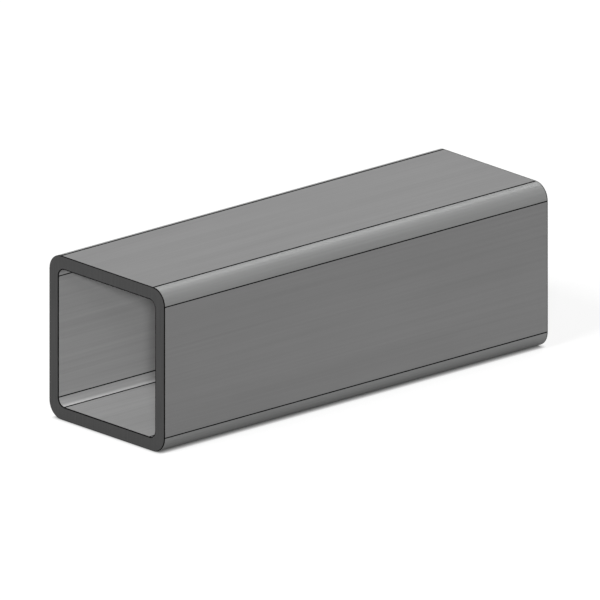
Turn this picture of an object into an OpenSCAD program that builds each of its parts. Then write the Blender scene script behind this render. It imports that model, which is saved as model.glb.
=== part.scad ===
// Square hollow section, one cut length of stock. It lies along X on its flat
// underside, and the origin is on that face, below the middle of the tube.
// All sizes are in millimetres.

/* [Section] */
// Outside width and height of the square
section_w = 50; // [30:1:150]
// Thickness of the four walls
wall_t = 4; // [3:0.5:6]
// Outside radius of the four bends
bend_outer_r = 5; // [3:0.5:8]
// Inside radius of the four bends
bend_inner_r = 2.5; // [1:0.5:5]

/* [Length] */
// Length between the two sawn ends
tube_l = 150; // [40:1:6000]

/* [Sawn ends] */
// Chamfer that deburring leaves round the outer edge of each end
outer_break = 0.1; // [0.05:0.05:0.5]
// Chamfer that deburring leaves round the mouth of the bore
bore_break = 0.1; // [0.05:0.05:0.5]

/* [Hidden] */
// Width and height of the bore
bore_w = section_w - 2 * wall_t;
// How far the cutter of the bore runs on past each end
cutter_overrun = 1;
// Facets of a full circle in a preview
$fn = 96;

// A square with round corners
module rounded_square(width, corner_r) {
    reach = width / 2 - corner_r;
    square([width, 2 * reach], center = true);
    square([2 * reach, width], center = true);
    for (across = [-reach, reach], up = [-reach, reach])
        translate([across, up])
            circle(r = corner_r);
}

// A slab whose two long sides lean outwards at 45 degrees as it rises
module leaning_slab(width, length, rise) {
    rotate([90, 0, 0])
        linear_extrude(length, center = true)
            polygon([
                [-width / 2, 0],
                [width / 2, 0],
                [width / 2 + rise, rise],
                [-width / 2 - rise, rise]
            ]);
}

// A rounded square that widens at 45 degrees as it rises, about fixed corner centres
module widening_square(width, corner_r, rise) {
    reach = width / 2 - corner_r;
    leaning_slab(width, 2 * reach, rise);
    rotate(90)
        leaning_slab(width, 2 * reach, rise);
    for (across = [-reach, reach], up = [-reach, reach])
        translate([across, up])
            cylinder(h = rise, r1 = corner_r, r2 = corner_r + rise);
}

// Lays what rises from the XY plane along X, with its height turned to +X
module along_x() {
    rotate([90, 0, 90])
        children();
}

// The outside of the tube, with the chamfer round each end
module outer_body() {
    along_x()
        linear_extrude(tube_l - 2 * outer_break, center = true)
            rounded_square(section_w, bend_outer_r);
    for (side = [0, 1])
        mirror([side, 0, 0])
            translate([-tube_l / 2, 0, 0])
                along_x()
                    widening_square(section_w - 2 * outer_break, bend_outer_r - outer_break, outer_break);
}

// The square bore, with the chamfer round each mouth
module bore_cutter() {
    along_x()
        linear_extrude(tube_l + 2 * cutter_overrun, center = true)
            rounded_square(bore_w, bend_inner_r);
    for (side = [0, 1])
        mirror([side, 0, 0])
            translate([tube_l / 2 - bore_break, 0, 0])
                along_x()
                    widening_square(bore_w, bend_inner_r, bore_break + cutter_overrun);
}

// The tube itself, lifted so that it lies on its underside
module tube() {
    color("gray")
        translate([0, 0, section_w / 2])
            difference() {
                outer_body();
                bore_cutter();
            }
}

tube();
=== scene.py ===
import math

import bpy
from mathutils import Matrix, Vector


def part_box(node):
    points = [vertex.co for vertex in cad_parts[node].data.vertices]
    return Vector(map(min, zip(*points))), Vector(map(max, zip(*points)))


# All lengths are in metres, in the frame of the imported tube:
# X along it, Z up, and the underside at Z = 0.

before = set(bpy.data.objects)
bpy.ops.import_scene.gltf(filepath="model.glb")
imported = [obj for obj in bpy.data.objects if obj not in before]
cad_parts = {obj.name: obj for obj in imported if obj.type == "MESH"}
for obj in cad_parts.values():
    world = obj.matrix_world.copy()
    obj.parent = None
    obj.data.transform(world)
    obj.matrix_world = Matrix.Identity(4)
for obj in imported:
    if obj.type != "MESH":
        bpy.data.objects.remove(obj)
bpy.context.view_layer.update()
low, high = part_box("tube")

# The tube's section, as it was measured
WALL = 0.004
OUTER_R = 0.005
INNER_R = 0.0025
EDGE_BREAK = 0.0001
HALF_LENGTH = (high.x - low.x) / 2
HALF_WIDTH = (high.y - low.y) / 2
MIDDLE = (low + high) / 2
# How far from the middle of the section the bends of the outside and of the bore have their centres
OUTER_REACH = HALF_WIDTH - OUTER_R
INNER_REACH = HALF_WIDTH - WALL - INNER_R

# The camera: parallel projection, seen from the near end's corner and a little from above
VIEW_AZIMUTH = math.radians(-41.975)
VIEW_ELEVATION = math.radians(18.02)
FRAME_WIDTH = 0.17437
# How far to the right of the tube's middle the photo is centred
AIM_RIGHT = 0.00041
CAMERA_DISTANCE = 0.6
CAMERA_NEAR_LIMIT = 0.01

# The numbers of the Mix node's sockets for its two values and its result, for numbers and for colours
MIX_SOCKETS = {"FLOAT": (2, 3, 0), "RGBA": (6, 7, 2)}
# Blender's noise lies mostly between these two values
NOISE_LOW = 0.25
NOISE_HIGH = 0.75


class Graph:
    """Short calls that add nodes to one node tree. A value is a number or another node's output."""

    def __init__(self, tree):
        self.tree = tree
        tree.nodes.clear()

    def add(self, kind, inputs=(), **settings):
        """A new node. Its inputs are named as Blender names them, or numbered."""
        node = self.tree.nodes.new(kind)
        for name, value in settings.items():
            setattr(node, name, value)
        for socket, value in dict(inputs).items():
            self.put(node.inputs[socket], value)
        return node

    def put(self, socket, value):
        if isinstance(value, bpy.types.NodeSocket):
            self.tree.links.new(value, socket)
        else:
            socket.default_value = value

    def math(self, operation, *values):
        node = self.add("ShaderNodeMath", dict(enumerate(values)), operation=operation)
        return node.outputs[0]

    def chain(self, operation, first, *others):
        """The operation on two values, carried on over the others."""
        for other in others:
            first = self.math(operation, first, other)
        return first

    def map_range(self, value, start, end, to_start, to_end, **settings):
        """Goes from to_start to to_end as value goes from start to end."""
        node = self.add("ShaderNodeMapRange", {
            "Value": value,
            "From Min": start,
            "From Max": end,
            "To Min": to_start,
            "To Max": to_end,
        }, **settings)
        return node.outputs["Result"]

    def rise(self, value, start, end):
        """Goes smoothly from 0 to 1 as value goes from start to end."""
        return self.map_range(value, start, end, 0.0, 1.0, interpolation_type="SMOOTHSTEP")

    def fall(self, value, start, end):
        """Goes smoothly from 1 to 0 as value goes from start to end."""
        return self.map_range(value, start, end, 1.0, 0.0, interpolation_type="SMOOTHSTEP")

    def pick(self, share, low_value, high_value, kind="FLOAT"):
        """low_value where share is 0, and high_value where it is 1."""
        low_socket, high_socket, result = MIX_SOCKETS[kind]
        inputs = {0: share, low_socket: low_value, high_socket: high_value}
        return self.add("ShaderNodeMix", inputs, data_type=kind).outputs[result]

    def pick_colour(self, share, low_colour, high_colour):
        return self.pick(share, low_colour, high_colour, kind="RGBA")

    def scaled(self, vector, scale):
        """A vector or colour, multiplied part by part."""
        node = self.add("ShaderNodeVectorMath", {0: vector, 1: scale}, operation="MULTIPLY")
        return node.outputs[0]

    def noise(self, place, cells, detail):
        """Noise from roughly -1 to 1, with so many cells a metre along X, Y and Z."""
        node = self.add("ShaderNodeTexNoise", {
            "Vector": self.scaled(place, cells),
            "Scale": 1.0,
            "Detail": detail,
        })
        return self.map_range(node.outputs["Fac"], NOISE_LOW, NOISE_HIGH, -1.0, 1.0, clamp=False)


def grey(level):
    return (level, level, level, 1.0)


# Half the width of the thin dark lines where the bends leave the upright walls and the level ones
UPRIGHT_BEND_LINE = 0.00014
LEVEL_BEND_LINE = 0.0003
# How far the dark lines round the cut edges reach past the chamfers: along the walls, and across the end
OUTER_LINE_ON_WALL = 0.0002
OUTER_LINE_ON_END = 0.00002
MOUTH_LINE_ON_WALL = 0.0001
MOUTH_LINE_ON_END = 0.00016
LINE_SOFTNESS = 0.00008
# How near a point must be to a face to count as on it
ON_FACE = 0.00002
# How far each side of the wall's middle the look of the outside goes over into that of the bore
HALF_CHANGE = WALL / 4
# The painted highlight in the bore's bends, a lighter strip placed by the sine of the turn away from the
# level wall:
# in full up to the first value, and gone at the second
PAINTED_HIGHLIGHT_TURN = (0.3, 0.65)


def outside_of(g, across, up, reach, radius):
    """How far a point lies outside the rounded square whose corner centres have that reach."""
    over_across = g.math("SUBTRACT", across, reach)
    over_up = g.math("SUBTRACT", up, reach)
    corner_across = g.math("MAXIMUM", over_across, 0.0)
    corner_up = g.math("MAXIMUM", over_up, 0.0)
    squares = g.math("ADD", g.math("POWER", corner_across, 2.0), g.math("POWER", corner_up, 2.0))
    within = g.math("MINIMUM", g.math("MAXIMUM", over_across, over_up), 0.0)
    return g.math("SUBTRACT", g.math("ADD", g.math("SQRT", squares), within), radius)


def bend_lines(g, across, up, into_bend):
    """The dark lines where the bends meet the flat walls."""
    on_level_wall = g.math("LESS_THAN", across, up)
    half_line = g.pick(on_level_wall, UPRIGHT_BEND_LINE, LEVEL_BEND_LINE)
    past_line = g.math("SUBTRACT", g.math("ABSOLUTE", into_bend), half_line)
    return g.fall(past_line, 0.0, LINE_SOFTNESS)


def cut_lines(g, along, below_skin, outside_bore, bore):
    """The dark lines round the cut edges, which cover the chamfers."""
    outer_start = HALF_LENGTH - EDGE_BREAK - OUTER_LINE_ON_WALL
    mouth_start = HALF_LENGTH - EDGE_BREAK - MOUTH_LINE_ON_WALL
    past_on_wall = g.math("SUBTRACT", g.pick(bore, outer_start, mouth_start), along)
    past_outer = g.math("SUBTRACT", below_skin, EDGE_BREAK + OUTER_LINE_ON_END)
    past_mouth = g.math("SUBTRACT", outside_bore, EDGE_BREAK + MOUTH_LINE_ON_END)
    past_line = g.math("MAXIMUM", past_on_wall, g.math("MINIMUM", past_outer, past_mouth))
    return g.fall(past_line, 0.0, LINE_SOFTNESS)


def zones(g, place):
    """The parts of the surface, each as a share from 0 to 1, worked out from where a point lies."""
    split = g.add("ShaderNodeSeparateXYZ", {"Vector": place})
    along = g.math("ABSOLUTE", split.outputs["X"])
    across = g.math("ABSOLUTE", split.outputs["Y"])
    up = g.math("ABSOLUTE", g.math("SUBTRACT", split.outputs["Z"], MIDDLE.z))
    below_skin = g.math("MULTIPLY", outside_of(g, across, up, OUTER_REACH, OUTER_R), -1.0)
    outside_bore = outside_of(g, across, up, INNER_REACH, INNER_R)

    bore = g.rise(g.math("SUBTRACT", below_skin, outside_bore), -HALF_CHANGE, HALF_CHANGE)
    sawn = g.math("GREATER_THAN", along, HALF_LENGTH - ON_FACE)
    reach = g.pick(bore, OUTER_REACH, INNER_REACH)
    into_bend = g.math("SUBTRACT", g.math("MINIMUM", across, up), reach)
    bend = g.rise(into_bend, 0.0, ON_FACE)

    # The painted highlight: a lighter strip in the bore's bends next to the level walls
    turn = g.math("DIVIDE", g.math("SUBTRACT", across, INNER_REACH), INNER_R)
    painted_highlight = g.chain("MULTIPLY", bore, bend, g.fall(turn, *PAINTED_HIGHLIGHT_TURN))

    off_the_end = g.math("SUBTRACT", 1.0, sawn)
    bend_line = g.math("MULTIPLY", bend_lines(g, across, up, into_bend), off_the_end)
    line = g.math("MAXIMUM", bend_line, cut_lines(g, along, below_skin, outside_bore, bore))
    return {"bore": bore, "sawn": sawn, "bend": bend, "painted_highlight": painted_highlight, "line": line}


# Each texture of the steel: its cells a metre along X, Y and Z, and its levels of finer detail
TEXTURES = {
    "fine_streaks": ((12.0, 1400.0, 1400.0), 2.0),
    "broad_streaks": ((7.0, 260.0, 260.0), 2.0),
    "clouds": ((22.0, 60.0, 60.0), 3.0),
    "grain": ((1800.0, 2600.0, 2600.0), 1.0),
    "saw_marks": ((0.0, 1500.0, 60.0), 2.0),
}
# How much a texture lightens or darkens the steel, as a share of its tone
FINE_STREAK_TONE = 0.05
BROAD_STREAK_TONE = 0.04
CLOUD_TONE = 0.03
SAW_MARK_TONE = 0.08

GREY_WALL = grey(0.209)
# The outer bends are painted lighter and a touch cool: a painted sheen that stands in for their
# highlight
GREY_BEND_PAINTED_SHEEN = (0.226, 0.2285, 0.227, 1.0)
# The bore is painted lighter than the walls: painted light that lifts the shade inside the tube
GREY_BORE_PAINTED_LIGHT = grey(0.314)
# A painted highlight in the bore's bends near the level walls
GREY_BORE_BEND_PAINTED_HIGHLIGHT = grey(0.46)
# The sawn ends are painted dark: painted shade for the faces turned away from the light
GREY_SAWN_PAINTED_SHADE = grey(0.06)
GREY_LINE = grey(0.004)

ROUGH_WALL = 0.55
ROUGH_BORE = 0.5
ROUGH_SAWN = 0.55
ROUGH_LINE = 0.9
# How much the streaks add to the roughness or take from it
STREAK_ROUGHNESS = 0.025

METALLIC_WALL = 0.45
METALLIC_BORE = 0.1
METALLIC_SAWN = 0.45
METALLIC_LINE = 0.0

# The bump: the weight of streaks and grain against saw marks of 1, its strength and its depth
STREAK_RELIEF = 0.5
GRAIN_RELIEF = 0.3
RELIEF_STRENGTH = 0.25
RELIEF_DEPTH = 0.00004


def steel_colour(g, zone, texture):
    """The grey of each zone, with streaks and clouds on the walls and saw marks on the ends; the outer
    bends carry a painted sheen, the bore is painted lighter against its shade with a painted highlight
    in its bends, and the ends are painted dark as shade.
    """
    fine_tone = g.math("MULTIPLY", texture["fine_streaks"], FINE_STREAK_TONE)
    broad_tone = g.math("MULTIPLY", texture["broad_streaks"], BROAD_STREAK_TONE)
    cloud_tone = g.math("MULTIPLY", texture["clouds"], CLOUD_TONE)
    wall_tone = g.chain("ADD", fine_tone, broad_tone, cloud_tone)
    sawn_tone = g.math("MULTIPLY", texture["saw_marks"], SAW_MARK_TONE)
    tone = g.math("ADD", g.pick(zone["sawn"], wall_tone, sawn_tone), 1.0)

    colour = g.pick_colour(zone["bend"], GREY_WALL, GREY_BEND_PAINTED_SHEEN)
    colour = g.pick_colour(zone["bore"], colour, GREY_BORE_PAINTED_LIGHT)
    colour = g.pick_colour(zone["painted_highlight"], colour, GREY_BORE_BEND_PAINTED_HIGHLIGHT)
    colour = g.pick_colour(zone["sawn"], colour, GREY_SAWN_PAINTED_SHADE)
    return g.pick_colour(zone["line"], g.scaled(colour, tone), GREY_LINE)


def steel_roughness(g, zone, texture):
    streaks = g.math("ADD", texture["fine_streaks"], texture["broad_streaks"])
    change = g.math("MULTIPLY", streaks, STREAK_ROUGHNESS)
    walls = g.pick(zone["bore"], ROUGH_WALL, ROUGH_BORE)
    steel = g.math("ADD", g.pick(zone["sawn"], walls, ROUGH_SAWN), change)
    return g.pick(zone["line"], steel, ROUGH_LINE)


def steel_metallic(g, zone):
    walls = g.pick(zone["bore"], METALLIC_WALL, METALLIC_BORE)
    steel = g.pick(zone["sawn"], walls, METALLIC_SAWN)
    return g.pick(zone["line"], steel, METALLIC_LINE)


def steel_relief(g, zone, texture):
    """The bump of the streaks and the grain on the walls, and of the saw marks on the ends."""
    streaks = g.math("MULTIPLY", texture["fine_streaks"], STREAK_RELIEF)
    grain = g.math("MULTIPLY", texture["grain"], GRAIN_RELIEF)
    height = g.pick(zone["sawn"], g.math("ADD", streaks, grain), texture["saw_marks"])
    inputs = {"Strength": RELIEF_STRENGTH, "Distance": RELIEF_DEPTH, "Height": height}
    return g.add("ShaderNodeBump", inputs).outputs["Normal"]


def tube_steel():
    """Mill-finish steel: rolled walls with lengthwise streaks, sawn ends with saw marks painted dark as
    shade, and painted sheen and light on the bends and in the bore.
    """
    material = bpy.data.materials.new("tube_steel")
    material.use_nodes = True
    g = Graph(material.node_tree)
    place = g.add("ShaderNodeTexCoord").outputs["Object"]
    zone = zones(g, place)
    texture = {name: g.noise(place, *settings) for name, settings in TEXTURES.items()}
    shader = g.add("ShaderNodeBsdfPrincipled", {
        "Base Color": steel_colour(g, zone, texture),
        "Metallic": steel_metallic(g, zone),
        "Roughness": steel_roughness(g, zone, texture),
        "Specular IOR Level": 0.0,
        "Normal": steel_relief(g, zone, texture),
    })
    g.add("ShaderNodeOutputMaterial", {"Surface": shader.outputs[0]})
    return material


def dress_tube():
    """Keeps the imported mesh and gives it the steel."""
    steel = tube_steel()
    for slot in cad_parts["tube"].material_slots:
        slot.material = steel


def sees_backdrop(g):
    """1 for the rays that look at the background itself: from the camera, off gloss or through glass."""
    path = g.add("ShaderNodeLightPath").outputs
    return g.chain("MAXIMUM", path["Is Camera Ray"], path["Is Glossy Ray"], path["Is Transmission Ray"])


def openness(g, distance):
    """How much of the sky above a point is free of anything nearer than the distance."""
    return g.add("ShaderNodeAmbientOcclusion", {"Distance": distance}).outputs["AO"]


FLOOR_HALF = 8.0
# How far the floor lies below the tube, so that no two faces share a plane
FLOOR_GAP = 0.00005
FLOOR_GREY = grey(0.2)
# What the floor shines by itself to the rays that see it as the backdrop, to come out white
FLOOR_GLOW = 0.82
# How far out from the tube the floor's glow is dimmed by occlusion into a painted contact shadow:
# as the camera sees it, and wider as a painted shade where it is mirrored in the steel
CONTACT_REACH = 0.0015
MIRRORED_REACH = 0.012


def make_floor():
    """A plain, light floor that shows white, keeps the tube's cast shadow, and has a painted contact
    shadow where its glow dims near the tube.
    """
    bpy.ops.mesh.primitive_plane_add(size=2 * FLOOR_HALF, location=(0, 0, -FLOOR_GAP))
    floor = bpy.context.object
    floor.name = "floor"
    material = bpy.data.materials.new("pale_floor")
    material.use_nodes = True
    g = Graph(material.node_tree)
    diffuse = g.add("ShaderNodeBsdfDiffuse", {"Color": FLOOR_GREY})
    from_camera = g.add("ShaderNodeLightPath").outputs["Is Camera Ray"]
    # Painted contact shadow: the glow fades by occlusion, over a wider reach in the steel's reflections
    free = g.pick(from_camera, openness(g, MIRRORED_REACH), openness(g, CONTACT_REACH))
    glow_strength = g.chain("MULTIPLY", sees_backdrop(g), FLOOR_GLOW, free)
    glow = g.add("ShaderNodeEmission", {"Strength": glow_strength})
    both = g.add("ShaderNodeAddShader", {0: diffuse.outputs[0], 1: glow.outputs[0]})
    g.add("ShaderNodeOutputMaterial", {"Surface": both.outputs[0]})
    floor.data.materials.append(material)


# The light from all round, and the strength at which the background looks white
WORLD_LIGHT = 0.2
WHITE_LIGHT = 1.0


def make_world():
    """Soft even light from all round, and a white background behind the floor's edge."""
    world = bpy.data.worlds.new("studio")
    bpy.context.scene.world = world
    world.use_nodes = True
    g = Graph(world.node_tree)
    strength = g.pick(sees_backdrop(g), WORLD_LIGHT, WHITE_LIGHT)
    background = g.add("ShaderNodeBackground", {"Color": grey(1.0), "Strength": strength})
    g.add("ShaderNodeOutputWorld", {"Surface": background.outputs[0]})


# Each lamp: the direction that it shines from, its strength, and its width as an angle
LAMPS = {
    "lamp_mouth": ((-0.70, -0.02, 0.71), 2.48, math.radians(20)),
    "lamp_front": ((-0.636, -0.707, 0.309), 2.38, math.radians(8)),
    "lamp_back": ((0.636, 0.294, 0.713), 0.82, math.radians(8)),
}


def make_lamps():
    """Three far lamps: from the near end, from the long side's corner and from behind."""
    for name, (direction, strength, angle) in LAMPS.items():
        light = bpy.data.lights.new(name, "SUN")
        light.energy = strength
        light.angle = angle
        lamp = bpy.data.objects.new(name, light)
        lamp.rotation_euler = Vector(direction).to_track_quat("Z", "Y").to_euler()
        bpy.context.collection.objects.link(lamp)


def make_camera():
    """Looks at the middle of the tube along the photo's line of sight."""
    flat = math.cos(VIEW_ELEVATION)
    back = Vector((
        math.sin(VIEW_AZIMUTH) * flat,
        -math.cos(VIEW_AZIMUTH) * flat,
        math.sin(VIEW_ELEVATION)))
    right = Vector((math.cos(VIEW_AZIMUTH), math.sin(VIEW_AZIMUTH), 0.0))
    data = bpy.data.cameras.new("camera")
    data.type = "ORTHO"
    data.ortho_scale = FRAME_WIDTH
    data.clip_start = CAMERA_NEAR_LIMIT
    camera = bpy.data.objects.new("camera", data)
    camera.location = MIDDLE + right * AIM_RIGHT + back * CAMERA_DISTANCE
    camera.rotation_euler = back.to_track_quat("Z", "Y").to_euler()
    bpy.context.collection.objects.link(camera)
    bpy.context.scene.camera = camera


make_camera()
make_world()
make_floor()
make_lamps()
dress_tube()
bpy.context.scene.view_settings.view_transform = "Standard"
